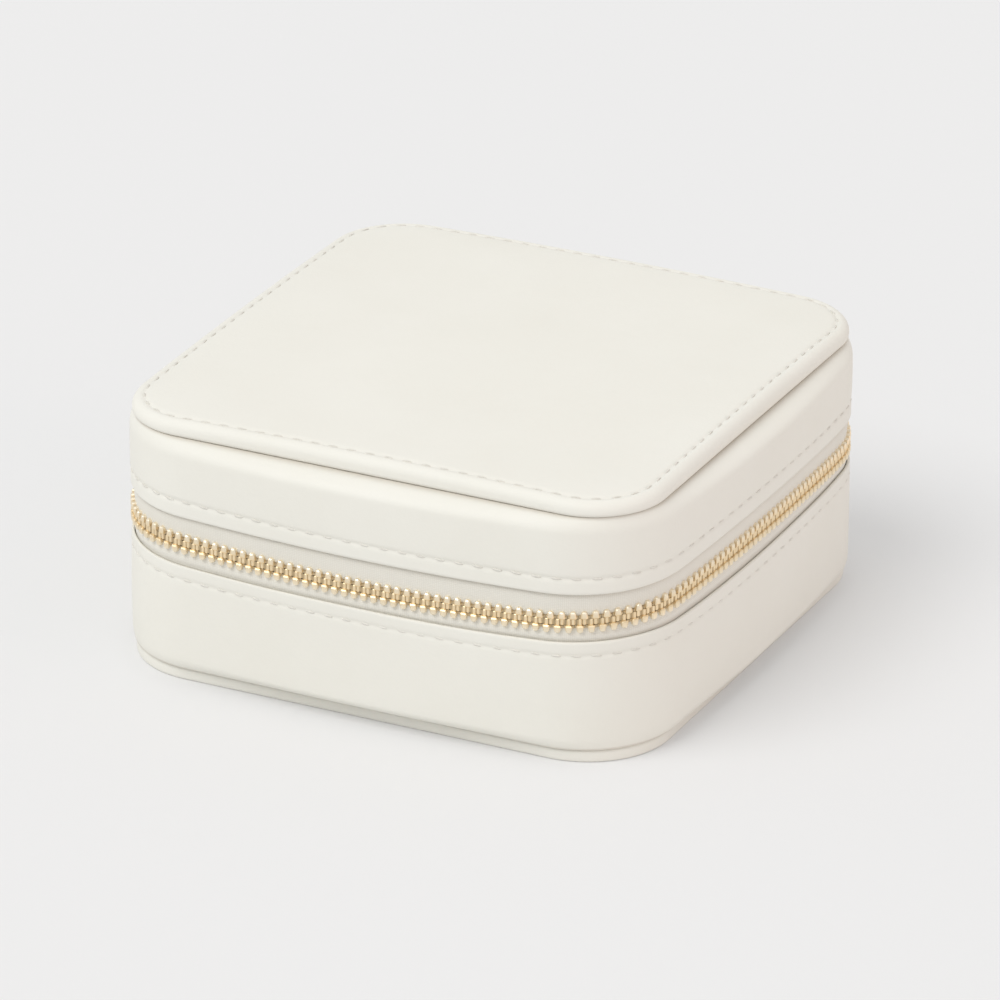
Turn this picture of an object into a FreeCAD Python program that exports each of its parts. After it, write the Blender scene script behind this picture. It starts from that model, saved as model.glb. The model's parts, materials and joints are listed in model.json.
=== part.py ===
import FreeCAD, Part
import math
import os

Vector = FreeCAD.Vector

# All sizes in millimetres. The origin is the centre of the underside, the front faces -Y, +Z is up.

# Plan outlines: half width at mid side, corner radius, curvature of the bowed sides.
top_plan = (50.0, 13.5, 0.0)
foot_plan = (50.4, 15.5, 0.0)
wall_side_radius = 350.0
wall_plan = (53.6, 20.0, 1 / wall_side_radius)
lid_crease_plan = (49.7, 13.5, 0.0)
base_crease_plan = (51.0, 17.0, 0.0)
inner_plan = (46.5, 10.0, 0.0)

# Heights of the visible edges, from the underside up.
foot_top = 2.4
base_edge = 22.9
chain_height = 26.4
lid_edge = 31.4
panel_bottom = 45.4
crown_top = 49.6

# Layers of the walls, from the outside in.
leather = 0.6
tape_thickness = 0.5
lining = 0.8
glue_gap = 0.05
layer_gap = 0.1

# Wall swelling: share of the way from the crease outline to the full outline, and height from the crease.
swell_shares = (0.0, 0.42, 0.8, 1.0)
base_swell_heights = (0.0, 1.3, 4.2, 8.8)
lid_swell_heights = (0.0, 1.0, 2.8, 6.0)

# Padded top panel.
top_crown_radius = 1600.0
top_edge_round = 1.8
foot_edge_round = 1.0
board_thickness = 0.9

# Zip.
tape_tuck = 2.0
tape_depth = leather + layer_gap + tape_thickness / 2
tape_edge_gap = 0.85
tooth_pitch = 1.86
tooth_length = 0.72
tooth_half_thickness = 1.1
tooth_foot = 2.1
tooth_head = 0.75
tooth_slot = tape_thickness / 2 + glue_gap
stop_length = 1.6
right_end_turn = math.radians(50)

# Zip slider and pull, in the slider's own directions: along the chain, outward, and up.
slider_length = 9.0
slider_half_width = 3.0
slider_channel = 1.25
slider_plate = 0.8
slider_lip = 0.55
slider_lip_gap = 0.55
slider_corner = 1.2
slider_rest_turn = 4.6
post_start = 2.2
post_end = 4.2
post_half_width = 0.8
bail_radius = 0.55
bail_lift = 3.55
bail_half_span = 2.2
bail_leg = 0.9
bail_leg_half_width = 0.7
pull_clearance = 0.07
pull_eye_radius = 1.15
pull_eye_half_length = 1.4
pull_thickness = 1.1
pull_half_width = 3.2
pull_length = 19.0
pull_shoulder = 2.4
pull_window_radius = 1.5

# Hinge strips at the back.
hinge_half_width = 33.0
hinge_lining_depth = 2.8
hinge_lining_thickness = 0.5

# Rims of the wall linings, which fold over the wall cores and leave room for the slider.
rim_gap = 0.25
rim_fold = 0.55

# Inside of the base.
floor_top = 3.9
roll_count = 4
roll_width = 10.2
roll_pitch = 10.5
roll_side_height = 12.4
roll_top = 17.0
fit_gap = 0.3
divider_thickness = 1.9
divider_top = 18.5
short_divider_place = 15.5

# Inside of the lid.
lining_panel_thickness = 1.35
mirror_half = 35.0
mirror_corner = 6.0
mirror_thickness = 1.2
mirror_rim_width = 2.6
mirror_rim_proud = 0.4


def inset(plan, depth):
    half, corner, curvature = plan
    return (half - depth, corner - depth, curvature / (1 - depth * curvature))


def between(first, second, share):
    return tuple(a + (b - a) * share for a, b in zip(first, second))


def corner_data(plan):
    # Distance of a corner centre from the middle lines, and the end of the front side.
    half, corner, curvature = plan
    if curvature == 0:
        return half - corner, half - corner, -half
    radius = 1 / curvature
    rise = radius - half
    centre = (math.sqrt(2 * (radius - corner) ** 2 - rise ** 2) - rise) / 2
    turn = math.atan2(centre, centre + rise)
    return centre, radius * math.sin(turn), rise - radius * math.cos(turn)


def outline(plan, height):
    # Closed square outline with round corners and straight or bowed sides.
    half, corner, curvature = plan
    centre, end_x, end_y = corner_data(plan)
    diagonal = centre + corner * math.sqrt(0.5)
    up = Vector(0, 0, 1)
    edges = []
    for turn in range(4):
        spin = FreeCAD.Rotation(up, 90 * turn)
        left, middle, right, bend, after = [
            spin.multVec(Vector(x, y, height))
            for x, y in (
                (-end_x, end_y),
                (0, -half),
                (end_x, end_y),
                (diagonal, -diagonal),
                (-end_y, -end_x),
            )
        ]
        side = Part.LineSegment(left, right) if curvature == 0 else Part.Arc(left, middle, right)
        edges.append(side.toShape())
        edges.append(Part.Arc(right, bend, after).toShape())
    return Part.Wire(edges)


def slab(plan, bottom, top):
    return Part.Face(outline(plan, bottom)).extrude(Vector(0, 0, top - bottom))


def ring(outer_plan, inner, bottom, top):
    return slab(outer_plan, bottom, top).cut(slab(inner, bottom, top))


def box(low, high):
    return Part.makeBox(high[0] - low[0], high[1] - low[1], high[2] - low[2], Vector(*low))


def swollen_wall(crease_plan, crease, swell_heights, edge, depth):
    # Solid inside the wall's outer face, pushed in by depth, from its crease to its zip edge.
    side = 1 if edge > crease else -1
    wires = [
        outline(inset(between(crease_plan, wall_plan, share), depth), crease + side * rise)
        for share, rise in zip(swell_shares, swell_heights)
    ]
    swell_end = crease + side * swell_heights[-1]
    plain = slab(inset(wall_plan, depth), min(swell_end, edge), max(swell_end, edge))
    return Part.makeLoft(wires, True, False).fuse(plain).removeSplitter()


def base_wall(depth, edge):
    return swollen_wall(base_crease_plan, foot_top + glue_gap, base_swell_heights, edge, depth)


def lid_wall(depth, edge):
    return swollen_wall(lid_crease_plan, panel_bottom - glue_gap, lid_swell_heights, edge, depth)


def wall_cover(wall, edge):
    return wall(0, edge).cut(wall(leather, edge))


def tape_room(low, high):
    # Space in which the tape lies behind the cover and over the rim.
    return ring(wall_plan, inset(wall_plan, leather + 2 * layer_gap + tape_thickness), low, high)


base_rim = chain_height - slider_half_width - rim_gap
lid_rim = chain_height + slider_half_width + rim_gap
base_core_top = base_rim - rim_fold - glue_gap
lid_core_bottom = lid_rim + rim_fold + glue_gap
lid_lining_top = panel_bottom - lining_panel_thickness - 3 * glue_gap
rim_plan = inset(wall_plan, leather + 2 * layer_gap + tape_thickness)
lining_plan = inset(inner_plan, layer_gap)
room_plan = inset(lining_plan, lining)


def base_wall_core():
    core = base_wall(leather + layer_gap, base_core_top)
    core = core.cut(slab(inner_plan, 0, crown_top))
    return core.cut(tape_room(base_edge - tape_tuck - layer_gap, base_rim))


def lid_wall_core():
    core = lid_wall(leather + layer_gap, lid_core_bottom)
    core = core.cut(slab(inner_plan, 0, crown_top))
    return core.cut(tape_room(lid_rim, lid_edge + tape_tuck + layer_gap))


def base_wall_lining():
    side = slab(lining_plan, floor_top + glue_gap, base_rim)
    fold = slab(rim_plan, base_rim - rim_fold, base_rim)
    return side.fuse(fold).removeSplitter().cut(slab(room_plan, 0, crown_top))


def lid_wall_lining():
    side = slab(lining_plan, lid_rim, lid_lining_top)
    fold = slab(rim_plan, lid_rim, lid_rim + rim_fold)
    return side.fuse(fold).removeSplitter().cut(slab(room_plan, 0, crown_top))


def crowned(plan, bottom, drop, edge_round):
    # Slab under a shallow dome, with a rounded upper edge.
    dome_centre = Vector(0, 0, crown_top - drop - top_crown_radius)
    sideways = Vector(1, 0, 0)
    dome = Part.makeSphere(top_crown_radius, dome_centre, sideways).rotate(dome_centre, sideways, 180)
    solid = slab(plan, bottom, crown_top).common(dome)
    edges = [edge for edge in solid.Edges if edge.BoundBox.ZMin > bottom + glue_gap]
    return solid.makeFillet(edge_round, edges)


def lid_top_cover():
    shell = crowned(top_plan, panel_bottom, 0, top_edge_round)
    return shell.cut(crowned(inset(top_plan, leather), panel_bottom, leather, top_edge_round - leather))


def lid_top_padding():
    bottom = panel_bottom + board_thickness + glue_gap
    depth = leather + layer_gap
    return crowned(inset(top_plan, depth), bottom, depth, top_edge_round - depth)


def lid_top_board():
    return slab(inset(top_plan, leather + layer_gap), panel_bottom, panel_bottom + board_thickness)


def base_bottom_cover():
    solid = slab(foot_plan, 0, foot_top)
    solid = solid.makeFillet(foot_edge_round, [edge for edge in solid.Edges if edge.BoundBox.ZMax < glue_gap])
    return solid.cut(slab(inset(foot_plan, leather), leather, foot_top))


def base_bottom_board():
    return slab(inset(foot_plan, leather + layer_gap), leather + glue_gap, foot_top)


chain_plan = inset(wall_plan, tape_depth)


def chain_runs():
    # Arcs of the chain's path from the middle of the front to the right: centre, radius, first angle, sweep.
    half, corner, curvature = chain_plan
    radius = 1 / curvature
    rise = radius - half
    centre = corner_data(chain_plan)[0]
    lean = math.atan2(centre, centre + rise)
    bend = math.pi / 2 - 2 * lean
    front = (0, rise, radius, -math.pi / 2, lean)
    front_corner = (centre, -centre, corner, -math.pi / 2 + lean, bend)
    side = (-rise, 0, radius, -lean, 2 * lean)
    back_corner = (centre, centre, corner, lean, bend)
    return front, front_corner, side, back_corner


def chain_place(distance):
    # Point and outward angle on the chain, at a distance from the middle of the front, right positive.
    remaining = abs(distance)
    for x, y, radius, first, sweep in chain_runs():
        if remaining <= radius * sweep:
            break
        remaining -= radius * sweep
    angle = first + remaining / radius
    point = Vector(x + radius * math.cos(angle), y + radius * math.sin(angle), chain_height)
    if distance < 0:
        point.x = -point.x
        angle = math.pi - angle
    return point, angle


def clip(distance, length, head, side):
    # Metal clip on a tape's edge, with a slot for the tape. Side 1 is the lid's, -1 the base's.
    point, angle = chain_place(distance)
    outward = Vector(math.cos(angle), math.sin(angle), 0)
    along = Vector(-math.sin(angle), math.cos(angle), 0)
    up = Vector(0, 0, side)
    slot_end = tape_edge_gap - glue_gap
    profile = (
        (-tooth_half_thickness, tooth_foot),
        (-tooth_slot, tooth_foot),
        (-tooth_slot, slot_end),
        (tooth_slot, slot_end),
        (tooth_slot, tooth_foot),
        (tooth_half_thickness, tooth_foot),
        (tooth_half_thickness, -head),
        (-tooth_half_thickness, -head),
    )
    start = point - along * (length / 2)
    points = [start + outward * out + up * rise for out, rise in profile]
    return Part.Face(Part.makePolygon(points + points[:1])).extrude(along * length)


run_lengths = [radius * sweep for x, y, radius, first, sweep in chain_runs()]
corner_middle = run_lengths[0] + run_lengths[1] / 2
side_middle = run_lengths[0] + run_lengths[1] + run_lengths[2] / 2
slider_place = side_middle + math.radians(slider_rest_turn) / chain_plan[2]
right_end = sum(run_lengths[:3]) + chain_plan[1] * right_end_turn
lid_left_end = slider_place - slider_length / 2 - tooth_length
base_left_end = slider_place + post_start - tooth_length
stop_place = slider_place + slider_length / 2 + stop_length


def teeth(first, last, side):
    offset = 0.25 * side
    numbers = range(math.ceil(first / tooth_pitch - offset), math.floor(last / tooth_pitch - offset) + 1)
    return Part.Compound([clip((n + offset) * tooth_pitch, tooth_length, tooth_head, side) for n in numbers])


def zip_stops(side):
    ends = (-stop_place, right_end + stop_length)
    return Part.Compound([clip(place, stop_length, -glue_gap, side) for place in ends])


def back_window(half_width):
    return box((-half_width, 0, 0), (half_width, 2 * wall_plan[0], crown_top))


def tape_band(bottom, top):
    outer = inset(wall_plan, leather + layer_gap)
    return ring(outer, inset(outer, tape_thickness), bottom, top)


def bare_ends(bottom, top):
    # The tape is full width past the stops, where its two edges meet.
    reach = 2 * wall_plan[0]
    left = chain_place(-stop_place - stop_length)[0]
    right = chain_place(right_end + 2 * stop_length)[0]
    zones = box((-reach, left.y, 0), (0, reach, crown_top)).fuse(box((0, right.y, 0), (reach, reach, crown_top)))
    return tape_band(bottom, top).common(zones)


def zip_tape(bottom, top, full_bottom, full_top):
    band = tape_band(bottom, top).fuse(bare_ends(full_bottom, full_top)).removeSplitter()
    return band.cut(back_window(hinge_half_width + glue_gap))


def base_zip_tape():
    bottom = base_edge - tape_tuck
    return zip_tape(bottom, chain_height - tape_edge_gap, bottom, chain_height - glue_gap)


def lid_zip_tape():
    top = lid_edge + tape_tuck
    return zip_tape(chain_height + tape_edge_gap, top, chain_height + glue_gap, top)


def hinge_strip():
    return tape_band(base_edge - tape_tuck, lid_edge + tape_tuck).common(back_window(hinge_half_width))


def hinge_lining():
    outer = inset(wall_plan, hinge_lining_depth)
    band = ring(outer, inset(outer, hinge_lining_thickness), base_rim + glue_gap, lid_rim - glue_gap)
    return band.common(back_window(hinge_half_width))


def on_slider(shape):
    # Moves a shape made for the middle of the left side, at its chain, to the slider's rest place.
    shape.translate(Vector(-chain_plan[0], 0, chain_height))
    pivot = Vector(1 / chain_plan[2] - chain_plan[0], 0, 0)
    return shape.rotate(pivot, Vector(0, 0, 1), -slider_rest_turn)


def slider_box(along, outward, upward):
    # Box from ranges along the chain, outward from it and up, on the left side where outward is -X.
    return box((-outward[1], along[0], upward[0]), (-outward[0], along[1], upward[1]))


def zip_slider_body():
    reach = slider_length / 2
    plate_top = slider_channel + slider_plate
    whole = slider_box((-reach, reach), (-plate_top, plate_top), (-slider_half_width, slider_half_width))
    across = [edge for edge in whole.Edges if edge.BoundBox.XLength > plate_top]
    body = whole.makeFillet(slider_corner, across)
    inside = slider_half_width - slider_lip
    body = body.cut(slider_box((-reach, reach), (-slider_channel, slider_channel), (-inside, inside)))
    wide = slider_half_width + slider_lip
    body = body.cut(slider_box((-reach, reach), (-slider_lip_gap, slider_lip_gap), (-wide, wide)))
    post = slider_box((post_start, post_end), (-plate_top, plate_top), (-post_half_width, post_half_width))
    body = body.fuse(post)
    bail_top = bail_lift + bail_radius
    leg_range = (bail_half_span, bail_half_span + bail_leg)
    for side in (1, -1):
        leg = sorted(side * end for end in leg_range)
        body = body.fuse(slider_box(leg, (slider_channel, bail_top), (-bail_leg_half_width, bail_leg_half_width)))
    bar = Part.makeCylinder(
        bail_radius, 2 * leg_range[1], Vector(-bail_lift, -leg_range[1], 0), Vector(0, 1, 0)
    )
    return on_slider(body.fuse(bar).removeSplitter())


def zip_pull_tab():
    axis = Vector(0, 1, 0)
    start = Vector(-bail_lift, -pull_eye_half_length, 0)
    eye = Part.makeCylinder(pull_eye_radius, 2 * pull_eye_half_length, start, axis)
    face = -bail_lift - pull_thickness / 2
    round_height = pull_half_width - pull_length
    points = [
        Vector(face, along, height)
        for along, height in (
            (pull_half_width, round_height),
            (pull_half_width, -2 * pull_shoulder),
            (pull_eye_half_length, -pull_shoulder),
            (pull_eye_half_length, 0),
            (-pull_eye_half_length, 0),
            (-pull_eye_half_length, -pull_shoulder),
            (-pull_half_width, -2 * pull_shoulder),
            (-pull_half_width, round_height),
        )
    ]
    sides = Part.makePolygon(points)
    round_end = Part.Arc(points[-1], Vector(face, 0, -pull_length), points[0]).toShape()
    tab = Part.Face(Part.Wire(sides.Edges + [round_end])).extrude(Vector(pull_thickness, 0, 0))
    window = Part.makeCylinder(
        pull_window_radius, 3 * pull_thickness, Vector(face - pull_thickness, 0, round_height), Vector(1, 0, 0)
    )
    bore = Part.makeCylinder(bail_radius + pull_clearance, 2 * pull_half_width,
                             Vector(-bail_lift, -pull_half_width, 0), axis)
    return on_slider(tab.fuse(eye).cut(window).cut(bore).removeSplitter())


def room(bottom, top):
    return slab(inset(room_plan, layer_gap), bottom, top)


roll_front = -room_plan[0] + fit_gap
rolls_back = roll_front + (roll_count - 1) * roll_pitch + roll_width
long_divider_back = rolls_back + fit_gap + divider_thickness


def ring_roll(number):
    front = roll_front + number * roll_pitch
    back = front + roll_width
    floor = floor_top + glue_gap
    reach = room_plan[0]
    corners = [(back, roll_side_height), (back, floor), (front, floor), (front, roll_side_height)]
    points = [Vector(-reach, y, z) for y, z in corners]
    crown = Part.Arc(points[-1], Vector(-reach, front + roll_width / 2, roll_top), points[0]).toShape()
    section = Part.Face(Part.Wire(Part.makePolygon(points).Edges + [crown]))
    return section.extrude(Vector(2 * reach, 0, 0)).common(room(floor, roll_top))


def long_divider():
    reach = room_plan[0] - layer_gap
    low = (-reach, long_divider_back - divider_thickness, floor_top + glue_gap)
    return box(low, (reach, long_divider_back, divider_top))


def short_divider(place):
    low = (place - divider_thickness / 2, long_divider_back + glue_gap, floor_top + glue_gap)
    return box(low, (place + divider_thickness / 2, room_plan[0] - layer_gap, divider_top))


mirror_top = lid_lining_top
mirror_plan = (mirror_half, mirror_corner, 0.0)


def mirror():
    return slab(mirror_plan, mirror_top - mirror_thickness, mirror_top)


def mirror_rim():
    hole = inset(mirror_plan, -layer_gap)
    return ring(inset(hole, -mirror_rim_width), hole, mirror_top - mirror_thickness - mirror_rim_proud, mirror_top)


def lid_lining_panel():
    return slab(lining_plan, mirror_top + glue_gap, mirror_top + glue_gap + lining_panel_thickness)


nodes = {
    "base_bottom_cover": base_bottom_cover(),
    "base_bottom_board": base_bottom_board(),
    "base_wall_core": base_wall_core(),
    "base_wall_cover": wall_cover(base_wall, base_edge),
    "base_wall_lining": base_wall_lining(),
    "base_floor_lining": slab(lining_plan, foot_top + glue_gap, floor_top),
    "base_zip_tape": base_zip_tape(),
    "base_teeth_left": teeth(-base_left_end, -corner_middle, -1),
    "base_teeth_front": teeth(-corner_middle, corner_middle, -1),
    "base_teeth_right": teeth(corner_middle, right_end, -1),
    "base_zip_stops": zip_stops(-1),
    "hinge_strip": hinge_strip(),
    "hinge_lining": hinge_lining(),
    "long_divider": long_divider(),
    "short_divider_left": short_divider(-short_divider_place),
    "short_divider_right": short_divider(short_divider_place),
    "lid_top_cover": lid_top_cover(),
    "lid_top_padding": lid_top_padding(),
    "lid_top_board": lid_top_board(),
    "lid_wall_core": lid_wall_core(),
    "lid_wall_cover": wall_cover(lid_wall, lid_edge),
    "lid_wall_lining": lid_wall_lining(),
    "lid_lining_panel": lid_lining_panel(),
    "lid_mirror": mirror(),
    "lid_mirror_rim": mirror_rim(),
    "lid_zip_tape": lid_zip_tape(),
    "lid_teeth_left": teeth(-lid_left_end, -corner_middle, 1),
    "lid_teeth_front": teeth(-corner_middle, corner_middle, 1),
    "lid_teeth_right": teeth(corner_middle, right_end, 1),
    "lid_zip_stops": zip_stops(1),
    "zip_slider_body": zip_slider_body(),
    "zip_pull_tab": zip_pull_tab(),
}
for number in range(roll_count):
    nodes["ring_roll_" + str(number + 1)] = ring_roll(number)

os.makedirs("parts", exist_ok=True)
for name, shape in nodes.items():
    shape.exportStep("parts/" + name + ".step")
    print(name, "solids", len(shape.Solids), "valid", shape.isValid(), "volume", round(shape.Volume, 1))
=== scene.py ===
import json
import math
import bmesh
import bpy
from mathutils import Matrix, Vector, noise


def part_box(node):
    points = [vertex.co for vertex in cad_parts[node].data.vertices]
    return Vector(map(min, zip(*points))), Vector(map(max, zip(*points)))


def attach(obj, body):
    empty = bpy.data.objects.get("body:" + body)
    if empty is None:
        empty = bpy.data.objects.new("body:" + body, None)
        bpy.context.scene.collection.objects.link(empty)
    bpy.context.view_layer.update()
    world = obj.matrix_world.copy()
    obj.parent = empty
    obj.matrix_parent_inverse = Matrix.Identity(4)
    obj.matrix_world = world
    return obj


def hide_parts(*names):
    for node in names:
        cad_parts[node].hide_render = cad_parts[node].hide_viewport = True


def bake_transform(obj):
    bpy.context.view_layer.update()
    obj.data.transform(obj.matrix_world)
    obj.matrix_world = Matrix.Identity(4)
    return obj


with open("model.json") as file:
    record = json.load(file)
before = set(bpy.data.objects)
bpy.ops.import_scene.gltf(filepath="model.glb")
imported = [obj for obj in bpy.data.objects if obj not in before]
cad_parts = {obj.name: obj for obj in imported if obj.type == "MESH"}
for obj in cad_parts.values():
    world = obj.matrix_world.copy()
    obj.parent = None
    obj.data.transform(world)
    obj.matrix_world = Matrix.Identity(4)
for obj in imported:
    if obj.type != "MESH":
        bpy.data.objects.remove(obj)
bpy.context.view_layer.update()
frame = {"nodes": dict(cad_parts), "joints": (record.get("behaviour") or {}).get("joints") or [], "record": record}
print("frame loaded:", len(frame["nodes"]), "nodes")

mm = 0.001
scene = bpy.context.scene
lidHinge = next(joint for joint in frame["joints"] if joint["name"] == "lid_swing")

# heights that the frame itself gives
chainHeight = lidHinge["pos_m"][2]
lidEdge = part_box("lid_wall_cover")[0][2]
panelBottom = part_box("lid_top_cover")[0][2]
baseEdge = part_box("base_wall_cover")[1][2]
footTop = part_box("base_bottom_cover")[1][2]
floorBottom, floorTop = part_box("base_floor_lining")[0][2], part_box("base_floor_lining")[1][2]
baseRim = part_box("base_wall_lining")[1][2]
lidRim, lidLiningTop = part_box("lid_wall_lining")[0][2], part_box("lid_wall_lining")[1][2]

# outlines seen from above: half width at mid side, corner radius, curvature of the bowed sides
topPlan = (50.0 * mm, 13.5 * mm, 0.0)
footPlan = (50.4 * mm, 15.5 * mm, 0.0)
wallPlan = (53.6 * mm, 20.0 * mm, 1 / 0.350)
lidCreasePlan = (49.7 * mm, 13.5 * mm, 0.0)
baseCreasePlan = (51.0 * mm, 17.0 * mm, 0.0)
roomPlan = (45.6 * mm, 9.1 * mm, 0.0)
leather = 0.6 * mm
liningThickness = 0.8 * mm
sidePoints, cornerPoints = 84, 40
leastCorner = 0.16   # smallest corner radius, as a share of the half width


# outline tools

def inset(plan, depth):
    half, corner, curvature = plan
    rounding = max(corner - depth, leastCorner * (half - depth))
    return half - depth, rounding, curvature / (1 - depth * curvature)


def between(first, second, share):
    return tuple(a + (b - a) * share for a, b in zip(first, second))


def cornerData(plan):
    half, corner, curvature = plan
    if curvature < 1e-6:
        return half - corner, 0.0
    radius = 1 / curvature
    rise = radius - half
    centre = (math.sqrt(2 * (radius - corner) ** 2 - rise ** 2) - rise) / 2
    return centre, math.atan2(centre, centre + rise)


def planPoint(plan, run, share):
    # even runs are sides from the front round by the right, odd runs the corners after them
    half, corner, curvature = plan
    centre, lean = cornerData(plan)
    if run % 2:
        angle = -math.pi / 2 + lean + (math.pi / 2 - 2 * lean) * share
        x, y = centre + corner * math.cos(angle), -centre + corner * math.sin(angle)
    elif lean == 0:
        angle = -math.pi / 2
        x, y = centre * (2 * share - 1), -half
    else:
        angle = -math.pi / 2 + lean * (2 * share - 1)
        x, y = math.cos(angle) / curvature, (1 + math.sin(angle)) / curvature - half
    turn = (run // 2) * math.pi / 2
    c, s = math.cos(turn), math.sin(turn)
    return Vector((c * x - s * y, s * x + c * y, 0)), angle + turn


def stationsRound(runs):
    # evenly spread places on each run: (run, first share, last share)
    places = []
    for run, first, last in runs:
        count = max(2, round((cornerPoints if run % 2 else sidePoints) * (last - first)))
        places += [(run, first + (last - first) * i / count) for i in range(count)]
    return places


# whole outline from the middle of the back, by left, front and right
allButBack = [(run % 8, 0, 1) for run in range(5, 12)]
wholeRound = stationsRound([(4, 0.5, 1)] + allButBack + [(4, 0, 0.5)])


def loopAt(plan, height, stations=wholeRound):
    return [planPoint(plan, run, share)[0] + Vector((0, 0, height)) for run, share in stations]


def lengthsAlong(points):
    total, lengths = 0.0, [0.0]
    for first, second in zip(points, points[1:]):
        total += (second - first).length
        lengths.append(total)
    return lengths


def runLengths(plan):
    # lengths of one bowed side and of one corner
    corner, curvature = plan[1:]
    lean = cornerData(plan)[1]
    return [2 * lean / curvature, corner * (math.pi / 2 - 2 * lean)]


def placeAt(plan, distance):
    # point on a bowed outline at a distance from the middle of the front, right positive
    lengths = runLengths(plan)
    left, run = abs(distance) + lengths[0] / 2, 0
    while left > lengths[run % 2]:
        left -= lengths[run % 2]
        run += 1
    point = planPoint(plan, run, left / lengths[run % 2])[0]
    return Vector((math.copysign(1, distance) * point.x, point.y, point.z))


def smoothStep(value, first, last):
    share = min(max((value - first) / (last - first), 0), 1)
    return share * share * (3 - 2 * share)


def quarterTurn(step):
    # (sine, cosine) at even steps over a quarter turn, in degrees
    angles = [math.radians(turn) for turn in range(0, 91, step)]
    return [(math.sin(angle), math.cos(angle)) for angle in angles]


# soft leather lets the zip line wander: (distance from the middle of the front, height gained), in mm
seamSag = {
    "lid": ((-60, 0), (-30, 0), (0, -0.15), (28, -0.1), (46, 0.1), (60, 0.6), (82, 1.2), (104, 1.1),
            (124, 0.4), (142, 0)),
    "chain": ((-60, 0), (-38, 0.1), (-20, -0.35), (0, -0.7), (16, -0.7), (32, -0.35), (46, 0.2), (60, 0.8),
              (82, 1.3), (100, 1.15), (113, 0.75), (128, 0.05), (142, 0)),
    "base": ((-62, 0), (-30, -0.7), (0, -0.8), (20, -0.75), (36, -0.35), (52, 0.1), (68, 0.15), (85, 0.3),
             (104, 0.4), (124, 0.1), (142, 0)),
}


def sagAt(layer, distance):
    # height that a layer gains at a distance, by a smooth curve through its knots
    knots = seamSag[layer]
    place = distance / mm
    if not knots[0][0] < place < knots[-1][0]:
        return 0.0
    i = max(k for k, knot in enumerate(knots) if knot[0] <= place)
    spread = [knots[max(k, 0)] for k in (i - 1, i, i + 1)] + [knots[min(i + 2, len(knots) - 1)]]
    (x0, y0), (x1, y1), (x2, y2), (x3, y3) = spread
    share, width = (place - x1) / (x2 - x1), x2 - x1
    first, last = (y2 - y0) / (x2 - x0) * width, (y3 - y1) / (x3 - x1) * width
    square = 3 * (y2 - y1) - 2 * first - last
    cube = 2 * (y1 - y2) + first + last
    return (y1 + share * first + share ** 2 * square + share ** 3 * cube) * mm


def frontDistance(run, share):
    # signed distance along the wall from the middle of the front, right positive
    lengths = runLengths(wallPlan) * 4
    distance = sum(lengths[:run]) + lengths[run] * share - lengths[0] / 2
    return distance - sum(lengths) if distance > sum(lengths) / 2 else distance


# mesh tools

def newPiece(name, data):
    piece = bpy.data.objects.new(name, data)
    scene.collection.objects.link(piece)
    return piece


def asMesh(piece):
    return bpy.data.meshes.new_from_object(piece.evaluated_get(bpy.context.evaluated_depsgraph_get()))


def meshFrom(work, name):
    mesh = bpy.data.meshes.new(name)
    work.to_mesh(mesh)
    work.free()
    return mesh


def sweep(name, rows, shades=None, roundPath=True, roundAcross=True, fans=(False, False)):
    # joins rows of points into quads; fans close the first or last row; bandMap is in metres
    work = bmesh.new()
    bandMap = work.loops.layers.uv.new("bandMap")
    # seamShade carries painted shade, one value a row, which the finishes darken the colour by
    seamShade = work.verts.layers.float.new("seamShade")
    grid = [[work.verts.new(point) for point in row] for row in rows]
    for row, shade in zip(grid, shades or [0.0] * len(rows)):
        for vert in row:
            vert[seamShade] = shade
    count = len(rows[0])
    middle = count // 3
    along = lengthsAlong(list(rows[len(rows) // 2]) + [rows[len(rows) // 2][0]])
    across = lengthsAlong([row[middle] for row in rows] + [rows[0][middle]])
    for r in range(len(rows) if roundAcross else len(rows) - 1):
        low, high = grid[r], grid[(r + 1) % len(rows)]
        for i in range(count if roundPath else count - 1):
            j = (i + 1) % count
            face = work.faces.new((low[i], low[j], high[j], high[i]))
            corners = ((i, r), (i + 1, r), (i + 1, r + 1), (i, r + 1))
            for loop, (a, b) in zip(face.loops, corners):
                loop[bandMap].uv = (along[a], across[b])
    for row, wanted in zip((grid[0], grid[-1]), fans):
        if wanted:
            centre = work.verts.new(sum((vert.co for vert in row), Vector()) / count)
            for i in range(count):
                work.faces.new((row[i], row[(i + 1) % count], centre))
    if not roundPath:
        work.faces.new([row[0] for row in grid])
        work.faces.new([row[-1] for row in grid])
    bmesh.ops.recalc_face_normals(work, faces=work.faces)
    for face in work.faces:
        face.smooth = True
    return newPiece(name, meshFrom(work, name))


easing = {"sameSpot": 1e-6, "flatAngle": 1, "sharpAngle": 28, "shadeAngle": 50}


def faceRank(face):
    return sum(index * 1e4 ** k for k, index in enumerate(sorted(vert.index for vert in face.verts)))


def sortFaces(work):
    # by their points, because bevels and triangulation leave faces in a varying order
    work.verts.index_update()
    work.faces.sort(key=faceRank)


def softened(node, name, width, segments=2):
    # the CAD node's own form with its edges eased
    work = bmesh.new()
    work.from_mesh(frame["nodes"][node].data)
    flat, sharp, shade = (math.radians(easing[key]) for key in ("flatAngle", "sharpAngle", "shadeAngle"))
    bmesh.ops.remove_doubles(work, verts=work.verts, dist=easing["sameSpot"])
    bmesh.ops.dissolve_limit(work, angle_limit=flat, verts=work.verts, edges=work.edges)
    edges = [edge for edge in work.edges if len(edge.link_faces) == 2 and edge.calc_face_angle() > sharp]
    bmesh.ops.bevel(work, geom=edges, offset=width, segments=segments, profile=0.5, affect="EDGES",
                    clamp_overlap=True)
    bmesh.ops.triangulate(work, faces=work.faces)
    sortFaces(work)
    mesh = meshFrom(work, name)
    mesh.shade_smooth()
    mesh.set_sharp_from_angle(angle=shade)
    return newPiece(name, mesh)


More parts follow.
